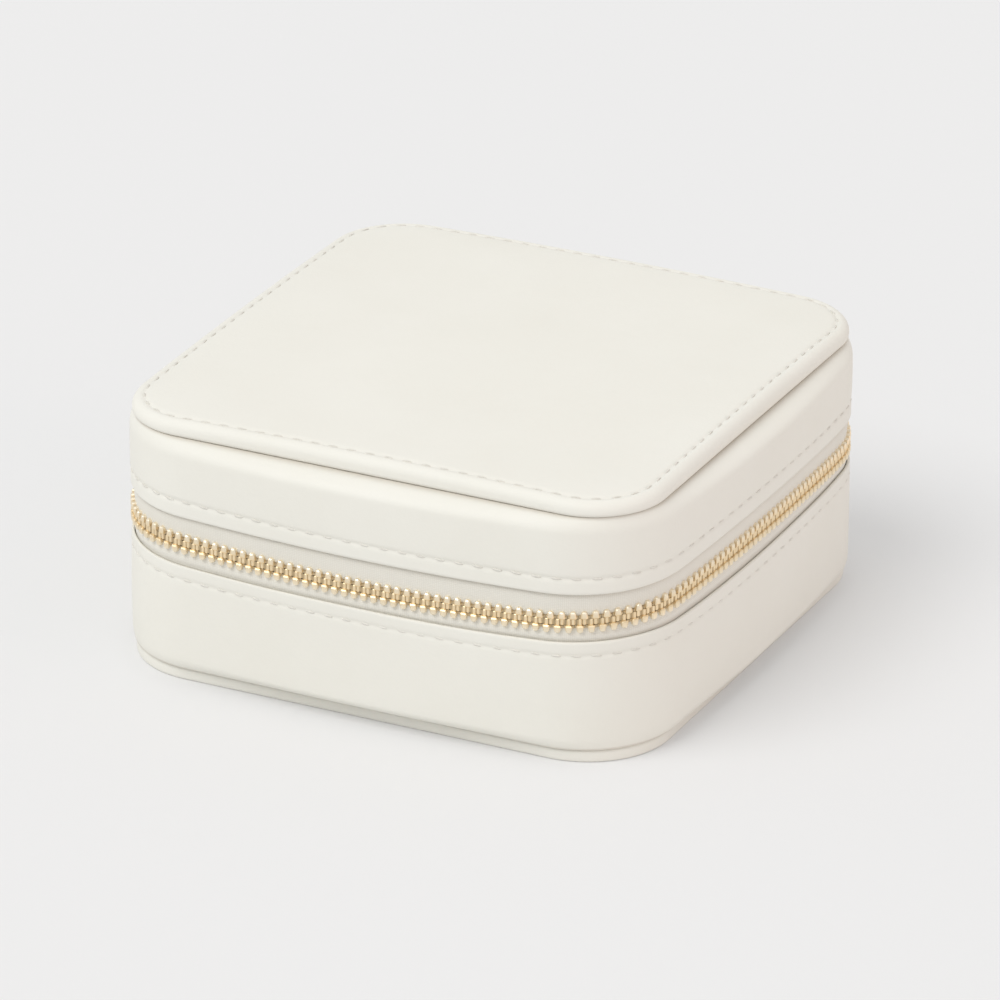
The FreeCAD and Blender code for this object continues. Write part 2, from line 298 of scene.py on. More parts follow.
class NodeKit:
    # a node tree with a short way to add nodes and link them
    def __init__(self, tree):
        self.tree = tree

    def plug(self, socket, value):
        # links another node's output, or sets a plain value
        if isinstance(value, bpy.types.NodeSocket):
            self.tree.links.new(value, socket)
        else:
            socket.default_value = value

    def node(self, kind, values=None, **settings):
        made = self.tree.nodes.new(kind)
        for key, value in settings.items():
            setattr(made, key, value)
        for key, value in (values or {}).items():
            self.plug(made.inputs[key], value)
        return made


def strewTree():
    # puts a small piece along a path at even steps, turned to follow it
    tree = bpy.data.node_groups.new("pathStrew", "GeometryNodeTree")
    sockets = {}
    for label, kind in (("Path", "Geometry"), ("Count", "Int"), ("Piece", "Object"), ("Slant", "Vector"),
                        ("Wobble", "Float"), ("Seed", "Int"), ("Finish", "Material")):
        sockets[label] = tree.interface.new_socket(label, in_out="INPUT", socket_type="NodeSocket" + kind)
    tree.interface.new_socket("Pieces", in_out="OUTPUT", socket_type="NodeSocketGeometry")
    node = NodeKit(tree).node
    given = node("NodeGroupInput").outputs
    curve = node("GeometryNodeMeshToCurve", {0: given["Path"]}).outputs[0]
    spots = node("GeometryNodeCurveToPoints", {0: curve, "Count": given["Count"]}, mode="COUNT").outputs
    follow = node("FunctionNodeAlignRotationToVector", {"Vector": spots["Tangent"]}, axis="X", pivot_axis="Z")
    least = node("ShaderNodeMath", {0: given["Wobble"], 1: -1}, operation="MULTIPLY").outputs[0]
    # inputs 2 and 3 and output 1 of a random value are the ones for plain numbers
    limits = {2: least, 3: given["Wobble"], "Seed": given["Seed"]}
    chance = node("FunctionNodeRandomValue", limits, data_type="FLOAT").outputs[1]
    spread = node("ShaderNodeCombineXYZ", {"Y": chance, "Z": chance}).outputs[0]
    total = node("ShaderNodeVectorMath", {0: given["Slant"], 1: spread}).outputs[0]
    turn = node("FunctionNodeEulerToRotation", {0: total}).outputs[0]
    turned = node("FunctionNodeRotateRotation", {0: follow.outputs[0], 1: turn}, rotation_space="LOCAL").outputs[0]
    part = node("GeometryNodeObjectInfo", {"Object": given["Piece"]}).outputs["Geometry"]
    settings = {"Points": spots["Points"], "Instance": part, "Rotation": turned}
    placed = node("GeometryNodeInstanceOnPoints", settings).outputs[0]
    plain = node("GeometryNodeRealizeInstances", {0: placed}).outputs[0]
    done = node("GeometryNodeSetMaterial", {"Geometry": plain, "Material": given["Finish"]}).outputs[0]
    node("NodeGroupOutput", {0: done})
    return tree, {label: socket.identifier for label, socket in sockets.items()}


pathStrew, strewInput = strewTree()


def strew(points, closed, part, count, finish, slant=(0, 0, 0), wobble=0.0, seed=1):
    # returns a plain mesh with count copies of part along the points
    mesh = bpy.data.meshes.new("path")
    edges = [(i, i + 1) for i in range(len(points) - 1)]
    if closed:
        edges.append((len(points) - 1, 0))
    mesh.from_pydata(points, edges, [])
    host = newPiece("path", mesh)
    modifier = host.modifiers.new("strew", "NODES")
    modifier.node_group = pathStrew
    values = {"Count": count, "Piece": part, "Slant": slant, "Wobble": wobble, "Seed": seed, "Finish": finish}
    for label, value in values.items():
        modifier[strewInput[label]] = value
    made = asMesh(host)
    bpy.data.objects.remove(host)
    return made


def joined(name, meshes):
    work = bmesh.new()
    for mesh in meshes:
        work.from_mesh(mesh)
    whole = meshFrom(work, name)
    for material in meshes[0].materials:
        whole.materials.append(material)
    return newPiece(name, whole)


# material tools

noiseSpread = (0.3, 0.7)   # the part of a noise's range that a finish uses


class Finish(NodeKit):
    # a material with its nodes at hand
    def __init__(self, name):
        self.material = bpy.data.materials.new(name)
        self.material.use_nodes = True
        super().__init__(self.material.node_tree)
        self.shader = self.tree.nodes["Principled BSDF"]
        self.where = self.tree.nodes.new("ShaderNodeTexCoord").outputs["Object"]

    def set(self, **values):
        for key, value in values.items():
            self.plug(self.shader.inputs[key.replace("_", " ")], value)

    def noise(self, scale, detail=3, rough=0.5, where=None):
        values = {"Vector": where or self.where, "Scale": scale, "Detail": detail, "Roughness": rough}
        return self.node("ShaderNodeTexNoise", values).outputs["Fac"]

    def wave(self, where, scale, distortion, direction):
        values = {"Vector": where, "Scale": scale, "Distortion": distortion}
        return self.node("ShaderNodeTexWave", values, bands_direction=direction).outputs["Fac"]

    def ramp(self, factor, low, high, spread=noiseSpread):
        made = self.node("ShaderNodeValToRGB", {"Fac": factor})
        for element, place, colour in zip(made.color_ramp.elements, spread, (low, high)):
            element.position = place
            element.color = (*colour, 1)
        return made.outputs["Color"]

    def span(self, factor, low, high):
        least, most = noiseSpread
        values = {"Value": factor, "From Min": least, "From Max": most, "To Min": low, "To Max": high}
        return self.node("ShaderNodeMapRange", values).outputs["Result"]

    def mix(self, factor, first, second):
        made = self.node("ShaderNodeMix", {0: factor, 6: first, 7: second}, data_type="RGBA")
        return made.outputs[2]

    def math(self, operation, first, second):
        return self.node("ShaderNodeMath", {0: first, 1: second}, operation=operation).outputs[0]

    def bump(self, layers):
        # layers of (height, strength, distance), each on top of the one before
        normal = None
        for height, strength, distance in layers:
            values = {"Height": height, "Strength": strength, "Distance": distance}
            if normal:
                values["Normal"] = normal
            normal = self.node("ShaderNodeBump", values).outputs["Normal"]
        self.set(Normal=normal)

    def attribute(self, name):
        return self.node("ShaderNodeAttribute", attribute_name=name).outputs["Fac"]

    def bandMap(self):
        return self.node("ShaderNodeUVMap", uv_map="bandMap").outputs["UV"]


def creamLeather():
    f = Finish("creamLeather")
    tone = f.ramp(f.noise(38, 4, 0.6), (0.812, 0.797, 0.729), (0.832, 0.819, 0.755))
    # the seamShade layer paints shade into the leather colour in creases, grooves, under edges and on hidden faces
    tone = f.mix(f.math("MULTIPLY", f.attribute("seamShade"), 0.5), tone, (0.50, 0.44, 0.36, 1))
    pores = f.node("ShaderNodeTexVoronoi", {"Vector": f.where, "Scale": 1500}).outputs["Distance"]
    creases = f.noise(420, 5, 0.65)
    f.set(Base_Color=tone, Roughness=f.span(f.noise(260, 4), 0.48, 0.62), Specular_IOR_Level=0.25)
    f.bump([(creases, 0.10, 0.0004), (pores, 0.07, 0.0002)])
    return f.material


def stitchThread():
    f = Finish("stitchThread")
    twist = f.wave(f.where, 2200, 2.0, "DIAGONAL")
    tone = f.ramp(f.noise(900, 2), (0.74, 0.72, 0.655), (0.80, 0.78, 0.72))
    f.set(Base_Color=tone, Roughness=0.62, Specular_IOR_Level=0.3)
    f.bump([(twist, 0.4, 0.0001)])
    return f.material


def wovenTape():
    f = Finish("wovenTape")
    band = f.bandMap()
    weave = f.math("MULTIPLY", f.wave(band, 900, 0.4, "X"), f.wave(band, 1050, 0.6, "Y"))
    tone = f.ramp(weave, (0.76, 0.735, 0.66), (0.84, 0.82, 0.755), (0.0, 0.8))
    tone = f.mix(f.span(f.noise(150, 3), 0.0, 0.25), tone, (0.80, 0.775, 0.70, 1))
    # the seamShade layer paints shade into the tape colour where it runs under and just below the leather edges
    tone = f.mix(f.math("MULTIPLY", f.attribute("seamShade"), 0.65), tone, (0.52, 0.475, 0.395, 1))
    f.set(Base_Color=tone, Roughness=0.78, Sheen_Weight=0.2, Sheen_Roughness=0.5, Specular_IOR_Level=0.25)
    f.bump([(weave, 0.35, 0.0001)])
    return f.material


def lightBrass():
    f = Finish("lightBrass")
    tone = f.ramp(f.noise(700, 4), (0.905, 0.745, 0.495), (0.95, 0.80, 0.56))
    # tipShade paints a pale highlight into the brass on the outer ends of the teeth
    tone = f.mix(f.attribute("tipShade"), tone, (0.955, 0.89, 0.755, 1))
    # the seamShade layer paints shade into the brass on the cores and webs between the teeth
    tone = f.mix(f.attribute("seamShade"), tone, (0.40, 0.285, 0.145, 1))
    f.set(Base_Color=tone, Metallic=1.0, Roughness=f.span(f.noise(1800, 3), 0.45, 0.55))
    f.bump([(f.noise(2600, 2), 0.05, 0.00005)])
    return f.material


def beigeVelvet():
    f = Finish("beigeVelvet")
    nap = f.noise(70, 5, 0.62)
    pile = f.noise(5200, 2, 0.7)
    tone = f.ramp(nap, (0.50, 0.42, 0.335), (0.63, 0.55, 0.455), (0.35, 0.65))
    tone = f.mix(f.span(pile, 0.0, 0.35), tone, (0.70, 0.63, 0.54, 1))
    f.set(Base_Color=tone, Roughness=0.92, Specular_IOR_Level=0.15, Sheen_Weight=0.55, Sheen_Roughness=0.35,
          Sheen_Tint=(0.95, 0.90, 0.84, 1))
    f.bump([(nap, 0.15, 0.0006), (pile, 0.5, 0.00018)])
    return f.material


def greyBoard():
    f = Finish("greyBoard")
    fibres = f.node("ShaderNodeMapping", {"Vector": f.where, "Scale": (1.0, 6.0, 1.0)}).outputs[0]
    tone = f.ramp(f.noise(900, 5, 0.7, fibres), (0.27, 0.235, 0.19), (0.42, 0.38, 0.32))
    f.set(Base_Color=tone, Roughness=0.9)
    f.bump([(f.noise(1600, 3), 0.3, 0.0001)])
    return f.material


def paleFoam():
    f = Finish("paleFoam")
    cells = f.node("ShaderNodeTexVoronoi", {"Vector": f.where, "Scale": 2200}).outputs["Distance"]
    f.set(Base_Color=f.ramp(cells, (0.86, 0.85, 0.80), (0.72, 0.70, 0.64), (0.1, 0.8)), Roughness=0.95)
    f.bump([(cells, 0.4, 0.0002)])
    return f.material


def silveredGlass():
    f = Finish("silveredGlass")
    haze = f.noise(35, 4)
    f.set(Base_Color=f.ramp(haze, (0.86, 0.885, 0.885), (0.91, 0.925, 0.925)), Metallic=1.0,
          Roughness=f.span(haze, 0.015, 0.05))
    return f.material


finishes = {
    "cream_leather": creamLeather(),
    "thread": stitchThread(),
    "zip_tape": wovenTape(),
    "zip_brass": lightBrass(),
    "beige_velvet": beigeVelvet(),
    "wall_board": greyBoard(),
    "foam_padding": paleFoam(),
    "mirror_glass": silveredGlass(),
}
print("finishes ready:", len(finishes))


def dress(piece, slot, body, nodes=()):
    # finish, body and the CAD nodes that the piece stands for
    if not piece.data.materials:
        piece.data.materials.append(finishes[slot])
    if body:
        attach(piece, body)
    if nodes:
        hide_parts(*nodes)
    return piece


# CAD nodes that stay as they are get their finish first
for entry in frame["record"]["subparts"]:
    cadPiece = frame["nodes"][entry["node"]]
    cadPiece.data.materials.clear()
    cadPiece.data.materials.append(finishes[entry["material_slot"]])


# stitches

stitch = {"pitch": 3.5 * mm, "length": 2.0 * mm, "thickness": 0.38 * mm, "arch": 0.14 * mm, "tip": 0.12,
          "slant": 4.0, "wobble": 2.5}


def threadStitch():
    # one short run of thread that dives into the leather at both ends
    steps, sides = 6, 6
    rows = []
    for i in range(steps + 1):
        share = 2 * i / steps - 1
        radius = stitch["thickness"] / 2 * math.sqrt(max(stitch["tip"], 1 - share ** 4))
        drop = stitch["arch"] * share ** 2
        along = share * stitch["length"] / 2
        angles = [2 * math.pi * k / sides for k in range(sides)]
        rows.append([Vector((along, radius * math.cos(a) + drop, radius * math.sin(a))) for a in angles])
    return sweep("threadStitch", rows, roundAcross=False, fans=(True, True))


def stitchRow(points, flatOnTop=False, seed=1):
    # even stitches round a closed path; on the top panel the thread's arch lies upright
    length = lengthsAlong(points + points[:1])[-1]
    count = round(length / stitch["pitch"])
    part = threadStitch()
    if flatOnTop:
        part.data.transform(Matrix.Rotation(math.radians(-90), 4, "X"))
    slant = math.radians(stitch["slant"])
    turn = (0, 0, slant) if flatOnTop else (0, slant, 0)
    mesh = strew(points, True, part, count, finishes["thread"], turn, math.radians(stitch["wobble"]), seed)
    bpy.data.objects.remove(part)
    return mesh


def stitchDimple(share, count):
    # 1 between two stitches, where the needle went in, less in the middle of a stitch
    return 0.5 + 0.5 * math.cos(2 * math.pi * (share * count + 0.5))


# leather walls

lidBand = {"swell": 2.9 * mm, "stitchUp": 3.0 * mm, "pillow": 0.08 * mm, "groove": 0.22 * mm}
baseBand = {"swell": 2.3 * mm, "stitchUp": 2.5 * mm, "pillow": 0.08 * mm, "groove": 0.16 * mm}
# grooveShade, edgeShade, hiddenShade and the crease's shade are painted shade
bandShape = {"swellPower": 2.4, "swellSteps": 16, "stepPower": 1.7, "plainSteps": 14, "grooveWidth": 0.42 * mm,
             "grooveShade": 0.08, "dimple": (0.55, 0.45), "uneven": 0.12 * mm, "unevenScale": 55,
             "glueGap": 0.05 * mm, "creaseWidth": 0.30 * mm, "edgeShade": 0.22, "hiddenShade": 0.5,
             "sagFrom": 0.25, "sagTo": 0.8}
grooveSteps = (-3, -2, -1.3, -0.8, -0.4, 0, 0.4, 0.8, 1.3, 2, 3)   # rows across a stitched groove, in its widths
rolledTurns = (45, 90, 135)


def bandProfile(sizes, height):
    # outer face from the crease to the edge: rise, swell share, push outward, painted shade, stitch dimple
    swell, stitchRise = sizes["swell"], height - sizes["stitchUp"]
    steps, plainSteps = bandShape["swellSteps"], bandShape["plainSteps"]
    rises = [swell * (i / steps) ** bandShape["stepPower"] for i in range(steps + 1)]
    width = bandShape["grooveWidth"]
    groove = [stitchRise + width * step for step in grooveSteps]
    first = rises[-1]
    plain = [first + (groove[0] - first) * i / plainSteps for i in range(1, plainSteps)]
    last = height - leather / 2
    rises += plain + groove + [groove[-1] + (last - groove[-1]) * share for share in (0.35, 0.7, 1.0)]
    profile = []
    for rise in rises:
        share = 1 - (1 - min(rise / swell, 1)) ** bandShape["swellPower"]
        dip = math.exp(-((rise - stitchRise) / width) ** 2)
        wide = (rise - 0.5 * swell) / (stitchRise - 0.5 * swell)
        push = sizes["pillow"] * math.sin(math.pi * min(max(wide, 0), 1))
        # painted shade in the crease and in the stitch groove
        shade = max(math.exp(-(rise / bandShape["creaseWidth"]) ** 2), bandShape["grooveShade"] * dip)
        profile.append((rise, share, push, shade, dip * sizes["groove"]))
    return profile


def sagShare(rise, height):
    # the crease stays level and the zip edge takes the whole sag
    return smoothStep(rise, bandShape["sagFrom"] * height, bandShape["sagTo"] * height)


def wallBand(name, sizes, creasePlan, crease, edge, layer):
    side = math.copysign(1, edge - crease)
    sags = [sagAt(layer, frontDistance(run, along)) for run, along in wholeRound]
    height, swell = abs(edge - crease), sizes["swell"]
    base = loopAt(wallPlan, 0)
    lengths = lengthsAlong(base + base[:1])
    count = round(lengths[-1] / stitch["pitch"])
    # the crease row gets full painted shade
    rows, shades = [loopAt(inset(creasePlan, 2 * leather), crease)], [1.0]
    for rise, share, push, shade, groove in bandProfile(sizes, height):
        plan = inset(between(creasePlan, wallPlan, share), -push)
        row = []
        held = sagShare(rise, height)
        plainDip, needleDip = bandShape["dimple"]
        for (run, along), length, sag in zip(wholeRound, lengths, sags):
            point, angle = planPoint(plan, run, along)
            point.z = crease + side * rise + sag * held
            wave = noise.noise(point * bandShape["unevenScale"]) * bandShape["uneven"] * share
            depth = groove * (plainDip + needleDip * stitchDimple(length / lengths[-1], count))
            row.append(point + Vector((math.cos(angle), math.sin(angle), 0)) * (wave - depth))
        rows.append(row)
        shades.append(shade)
    # painted shade under the rolled edge, most where it turns in
    for turn in rolledTurns:
        depth = leather / 2 * (1 - math.cos(math.radians(turn)))
        reach = leather / 2 * (1 - math.sin(math.radians(turn)))
        row = loopAt(inset(wallPlan, depth), edge - side * reach)
        rows.append([point + Vector((0, 0, sag)) for point, sag in zip(row, sags)])
        shades.append(bandShape["edgeShade"] * turn / rolledTurns[-1])
    # rise and swell share of the inner face, which gets painted shade
    innerFace = ((height - leather, 1.0), (swell, 1.0), (0.45 * swell, 0.76), (0.3 * mm, 0.1))
    for rise, share in innerFace:
        row = loopAt(inset(between(creasePlan, wallPlan, share), leather), crease + side * rise)
        held = sagShare(rise, height)
        rows.append([point + Vector((0, 0, sag * held)) for point, sag in zip(row, sags)])
        shades.append(bandShape["hiddenShade"])
    return sweep(name, rows, shades)


lidCrease, baseCrease = panelBottom - bandShape["glueGap"], footTop + bandShape["glueGap"]
lidWall = wallBand("lidWallCover", lidBand, lidCreasePlan, lidCrease, lidEdge, "lid")
dress(lidWall, "cream_leather", "lid", ["lid_wall_cover"])
baseWall = wallBand("baseWallCover", baseBand, baseCreasePlan, baseCrease, baseEdge, "base")
dress(baseWall, "cream_leather", "base", ["base_wall_cover"])
print("leather walls ready")


# top panel

# underShade and grooveShade are painted shade on the lower rounding and in the stitch groove
topPanel = {"crown": 1600 * mm, "centreHeight": 49.6 * mm, "edgeRound": 1.8 * mm, "lowerRound": 0.7 * mm,
            "tuckIn": 0.8, "stitchIn": 2.2 * mm, "groove": 0.18 * mm, "grooveShade": 0.06, "underShade": 0.6,
            "puff": 0.22 * mm, "puffReach": 2.6 * mm, "uneven": 0.07 * mm, "unevenScale": 45,
            "unevenReach": 8 * mm}


def topSurface(point, depth):
    # height of the padded panel at a point that lies depth inside its outline
    edge = topPanel["edgeRound"]
    drop = edge - math.sqrt(edge ** 2 - max(edge - depth, 0) ** 2)
    inside = max(depth - topPanel["stitchIn"], 0)
    puff = topPanel["puff"] * math.exp(-inside / topPanel["puffReach"])
    place = Vector((point.x, point.y, 0.2)) * topPanel["unevenScale"]
    wave = topPanel["uneven"] * noise.noise(place) * min(inside / topPanel["unevenReach"], 1)
    dome = topPanel["centreHeight"] - (point.x ** 2 + point.y ** 2) / (2 * topPanel["crown"])
    return dome - drop - puff + wave


def topRow(depth, lift=0.0, groove=0.0):
    row = []
    for point in loopAt(inset(topPlan, depth), 0):
        point.z = topSurface(point, depth) + lift - groove
        row.append(point)
    return row


def paddedTop():
    # from the middle of the underside out, round the lower edge and the rolled edge, and in over the top
    small, underRows = topPanel["lowerRound"], 6
    innerDepths = [46 * mm, 30 * mm, 12 * mm, leather + 1.2 * mm, leather + 0.3 * mm]
    rows = [topRow(depth, lift=-leather) for depth in innerDepths]
    rows += [loopAt(inset(topPlan, leather), panelBottom + height) for height in (1.6 * mm, 0.3 * mm)]
    for sine, cosine in quarterTurn(15):
        plan = inset(topPlan, small * (1 - sine) * topPanel["tuckIn"])
        rows.append(loopAt(plan, panelBottom + small * (1 - cosine)))
    # painted shade on the lower rounding, growing towards the underside
    shades = [0.0] * len(rows)
    for i in range(underRows):
        shades[-1 - i] = topPanel["underShade"] * i / underRows
    edge, width = topPanel["edgeRound"], bandShape["grooveWidth"]
    depths = [edge * (1 - math.cos(math.radians(turn))) for turn in range(0, 81, 8)]
    depths += [topPanel["stitchIn"] + width * step for step in grooveSteps[3:]]
    depths += [value * mm for value in (4.2, 5.2, 6.5, 8, 10, 12.5, *range(15, 46, 3), 47.5)]
    for depth in depths:
        dip = math.exp(-((depth - topPanel["stitchIn"]) / width) ** 2)
        rows.append(topRow(depth, groove=dip * topPanel["groove"]))
        # painted shade in the stitch groove
        shades.append(topPanel["grooveShade"] * dip)
    return sweep("lidTopCover", rows, shades, roundAcross=False, fans=(True, True))


topCover = dress(paddedTop(), "cream_leather", "lid", ["lid_top_cover"])
print("padded top ready")


# bottom panel

# floorShade, creaseShades and hiddenShade are painted shade
footPanel = {"lowerRound": 0.45 * mm, "upperRound": 0.75 * mm, "lip": 0.1 * mm, "lipDrop": 0.2 * mm,
             "floorShade": 0.1, "creaseShades": [0.2, 0.5], "hiddenShade": 0.5}


def bottomPanel():
    low, high = footPanel["lowerRound"], footPanel["upperRound"]
    rows = [loopAt(inset(footPlan, depth * mm), 0) for depth in (46, 30, 14, 5, 2)]
    floorRows = len(rows) + 1
    for sine, cosine in quarterTurn(15):
        rows.append(loopAt(inset(footPlan, low * (1 - sine)), low * (1 - cosine)))
    for sine, cosine in quarterTurn(15):
        rows.append(loopAt(inset(footPlan, high * (1 - cosine)), footTop - high * (1 - sine)))
    # painted shade on the underside, in the crease under the wall and on the hidden inner rows
    plain = len(rows) - floorRows - len(footPanel["creaseShades"])
    shades = [footPanel["floorShade"]] * floorRows + [0.0] * plain + footPanel["creaseShades"]
    inner = inset(footPlan, high + footPanel["lip"])
    rows += [loopAt(inner, footTop - footPanel["lipDrop"]), loopAt(inner, leather)]
    rows += [loopAt(inset(footPlan, depth * mm), leather) for depth in (14, 30, 46)]
    shades += [footPanel["hiddenShade"]] * (len(rows) - len(shades))
    return sweep("baseBottomCover", rows, shades, roundAcross=False, fans=(True, True))


dress(bottomPanel(), "cream_leather", "base", ["base_bottom_cover"])
print("bottom panel ready")


# stitch rows

def wallStitchPath(height, depth, layer):
    path = loopAt(inset(wallPlan, depth), height)
    for point, (run, along) in zip(path, wholeRound):
        point.z += sagAt(layer, frontDistance(run, along))
    return path


threadDepth = 0.10 * mm
lidRow = stitchRow(wallStitchPath(lidEdge + lidBand["stitchUp"], threadDepth, "lid"), seed=3)
panelRow = stitchRow(topRow(topPanel["stitchIn"], lift=-threadDepth), flatOnTop=True, seed=5)
dress(joined("lidStitches", [lidRow, panelRow]), "cream_leather", "lid")
baseRow = stitchRow(wallStitchPath(baseEdge - baseBand["stitchUp"], threadDepth, "base"), seed=7)
dress(joined("baseStitches", [baseRow]), "cream_leather", "base")
print("stitches ready")


# zip

zipSizes = {"tapeDepth": 0.95 * mm, "tapeThickness": 0.5 * mm, "tuck": 2.0 * mm, "edgeGap": 0.85 * mm,
            "bareGap": 0.05 * mm, "pitch": 1.86 * mm, "toothLength": 0.72 * mm, "sliderLength": 9.0 * mm,
            "postStart": 2.2 * mm, "sliderTurn": 4.6, "stopLength": 1.6 * mm, "rightTurn": 50,
            "hingeShare": 0.0145, "tapeSwell": 0.2 * mm, "cordRound": 0.05 * mm, "lidTapeShade": 0.65,
            "baseTapeShade": 0.3}
# coreShade is the painted shade of the cores and webs, tipShade the painted highlight of the outer ends
tooth = {"footHalf": 0.42 * mm, "shoulderHalf": 0.66 * mm, "headHalf": 0.28 * mm, "coreGap": 0.01 * mm,
         "foot": 1.90 * mm, "neck": 0.60 * mm, "head": 0.55 * mm, "footThick": 1.02 * mm,
         "headThick": 0.62 * mm, "coreThick": 0.50 * mm, "coreFoot": 1.10 * mm, "coreShade": 0.6,
         "tipShade": 0.7, "ease": 0.2 * mm, "headEase": 0.1 * mm, "lean": 0.19}
chainPlan = inset(wallPlan, zipSizes["tapeDepth"])


def chainSpan():
    # distances along the chain from the middle of the front: slider, right end and the two left ends
    corner, curvature = chainPlan[1:]
    side, bend = runLengths(chainPlan)
    slider = side / 2 + bend + side / 2 + math.radians(zipSizes["sliderTurn"]) / curvature
    right = side / 2 + bend + side + corner * math.radians(zipSizes["rightTurn"])
    baseLeft = slider + zipSizes["postStart"] - zipSizes["toothLength"]
    lidLeft = slider - zipSizes["sliderLength"] / 2 - zipSizes["toothLength"]
    return slider, right, baseLeft, lidLeft


sliderPlace, rightEnd, baseLeftEnd, lidLeftEnd = chainSpan()


def block(work, low, high, ease=0.0, lowHalf=None):
    # a box with eased edges; lowHalf narrows its lower end
    made = bmesh.ops.create_cube(work, size=1)["verts"]
    for vert in made:
        wide = lowHalf / high[0] if lowHalf and vert.co.z < 0 else 1.0
        vert.co = Vector([low[k] + (vert.co[k] + 0.5) * (high[k] - low[k]) for k in range(3)])
        vert.co.x *= wide
    if ease:
        edges = list(dict.fromkeys(edge for vert in made for edge in vert.link_edges))
        bmesh.ops.bevel(work, geom=edges, offset=ease, segments=1, profile=0.5, affect="EDGES")
    return made


def metalTooth(side):
    # clasp round the tape's edge, a slimmer head that meshes, and a core and web with painted shade that close
    # the gaps between teeth; side 1 hangs from the lid
    work = bmesh.new()
    paintedShade = work.verts.layers.float.new("seamShade")
    paintedHighlight = work.verts.layers.float.new("tipShade")
    foot, neck, head = -tooth["foot"], -tooth["neck"], tooth["head"]
    wide, slim = tooth["shoulderHalf"], tooth["headHalf"]
    reach = [zipSizes["pitch"] * part - tooth["coreGap"] for part in (0.5 - tooth["lean"], tooth["lean"])]
    left, right = reach if side == -1 else reach[::-1]
    thick, flat, deep = tooth["footThick"], tooth["headThick"], tooth["coreThick"]
    block(work, (-wide, -thick, foot), (wide, thick, neck), tooth["ease"], tooth["footHalf"])
    block(work, (-slim, -flat, neck - tooth["ease"]), (slim, flat, head), tooth["headEase"])
    core = block(work, (-left, -deep, neck), (right, deep, head - tooth["headEase"]))
    half = zipSizes["pitch"] / 2 - tooth["coreGap"]
    # the cores and webs get painted shade
    for vert in core + block(work, (-half, -deep, -tooth["coreFoot"]), (half, deep, neck)):
        vert[paintedShade] = tooth["coreShade"]
    # the outer ends get a painted highlight that fades towards the neck
    for vert in work.verts:
        vert[paintedHighlight] = tooth["tipShade"] * (1 - smoothStep(vert.co.z, foot, neck))
    if side == 1:
        bmesh.ops.rotate(work, verts=work.verts, cent=(0, 0, 0), matrix=Matrix.Rotation(math.pi, 3, "X"))
    sortFaces(work)
    return newPiece("metalTooth", meshFrom(work, "metalTooth"))


def toothRow(side, leftEnd):
    # evenly spaced teeth from the left end to the right end, along a path with six steps to a tooth
    offset, pitch = tooth["lean"] * side, zipSizes["pitch"]
    first, last = math.ceil(-leftEnd / pitch - offset), math.floor(rightEnd / pitch - offset)
    start, stop = (first + offset) * pitch, (last + offset) * pitch
    steps = 6 * (last - first)
    points = []
    for i in range(steps + 1):
        distance = start + (stop - start) * i / steps
        points.append(placeAt(chainPlan, distance) + Vector((0, 0, chainHeight + sagAt("chain", distance))))
    part = metalTooth(side)
    mesh = strew(points, False, part, last - first + 1, finishes["zip_brass"])
    bpy.data.objects.remove(part)
    return mesh


runNames = ("left", "front", "right")
for body, side, leftEnd in (("base", -1, baseLeftEnd), ("lid", 1, lidLeftEnd)):
    row = newPiece(body + "ZipTeeth", toothRow(side, leftEnd))
    dress(row, "zip_brass", body, [body + "_teeth_" + run for run in runNames])
print("zip teeth ready")

hingeStart, hingeEnd = zipSizes["hingeShare"], 1 - zipSizes["hingeShare"]
aroundFront = stationsRound([(4, hingeEnd, 1)] + allButBack + [(4, 0, hingeStart)]) + [(4, hingeStart)]
tapeOuter = zipSizes["tapeDepth"] - zipSizes["tapeThickness"] / 2


def zipTape(body, side, tuckedEnd):
    # woven band with a corded edge; past the stops its edge comes in to the middle line
    outer, inner = tapeOuter, zipSizes["tapeDepth"] + zipSizes["tapeThickness"] / 2
    lengths = lengthsAlong(loopAt(chainPlan, 0, aroundFront))
    half = lengths[-1] / 2
    stop = zipSizes["stopLength"]
    reach = chainHeight + side * zipSizes["edgeGap"]
    lip, swell = zipSizes["tuck"] / abs(reach - tuckedEnd), zipSizes["tapeSwell"]
    cord = zipSizes["cordRound"]
    # depth, share of the way to the edge, and painted shade: down the outer face, round the edge and back up
    # inside
    profile = [(outer, 0.0, 1), (outer, lip - 0.03, 1), (outer, lip, 0.85),
               (outer - 0.6 * swell, lip + 0.06, 0.55), (outer - swell, lip + 0.13, 0.28),
               (outer - swell, lip + 0.24, 0.08), (outer - 0.5 * swell, 0.7, 0), (outer, 0.9, 0),
               (outer + cord, 0.98, 0), (zipSizes["tapeDepth"], 1.0, 0), (inner - cord, 0.98, 0),
               (inner, 0.9, 0), (inner, 0.5, 0), (inner, 0.0, 1)]
    bareLeft, bareRight = -sliderPlace - zipSizes["sliderLength"] / 2 - 2 * stop, rightEnd + 2 * stop
    rows = []
    for depth, share, shade in profile:
        row = []
        for (run, along), length in zip(aroundFront, lengths):
            distance = length - half
            bare = distance < bareLeft or distance > bareRight
            edge = chainHeight + side * zipSizes["bareGap"] if bare else reach
            point = planPoint(inset(wallPlan, depth), run, along)[0]
            far, near = tuckedEnd + sagAt(body, distance), edge + sagAt("chain", distance)
            point.z = far + (near - far) * share
            row.append(point)
        rows.append(row)
    # painted shade where the tape runs under the leather and just below its edge, scaled for each half
    shades = [shade * zipSizes[body + "TapeShade"] for depth, share, shade in profile]
    return sweep(body + "ZipTape", rows, shades, roundPath=False)


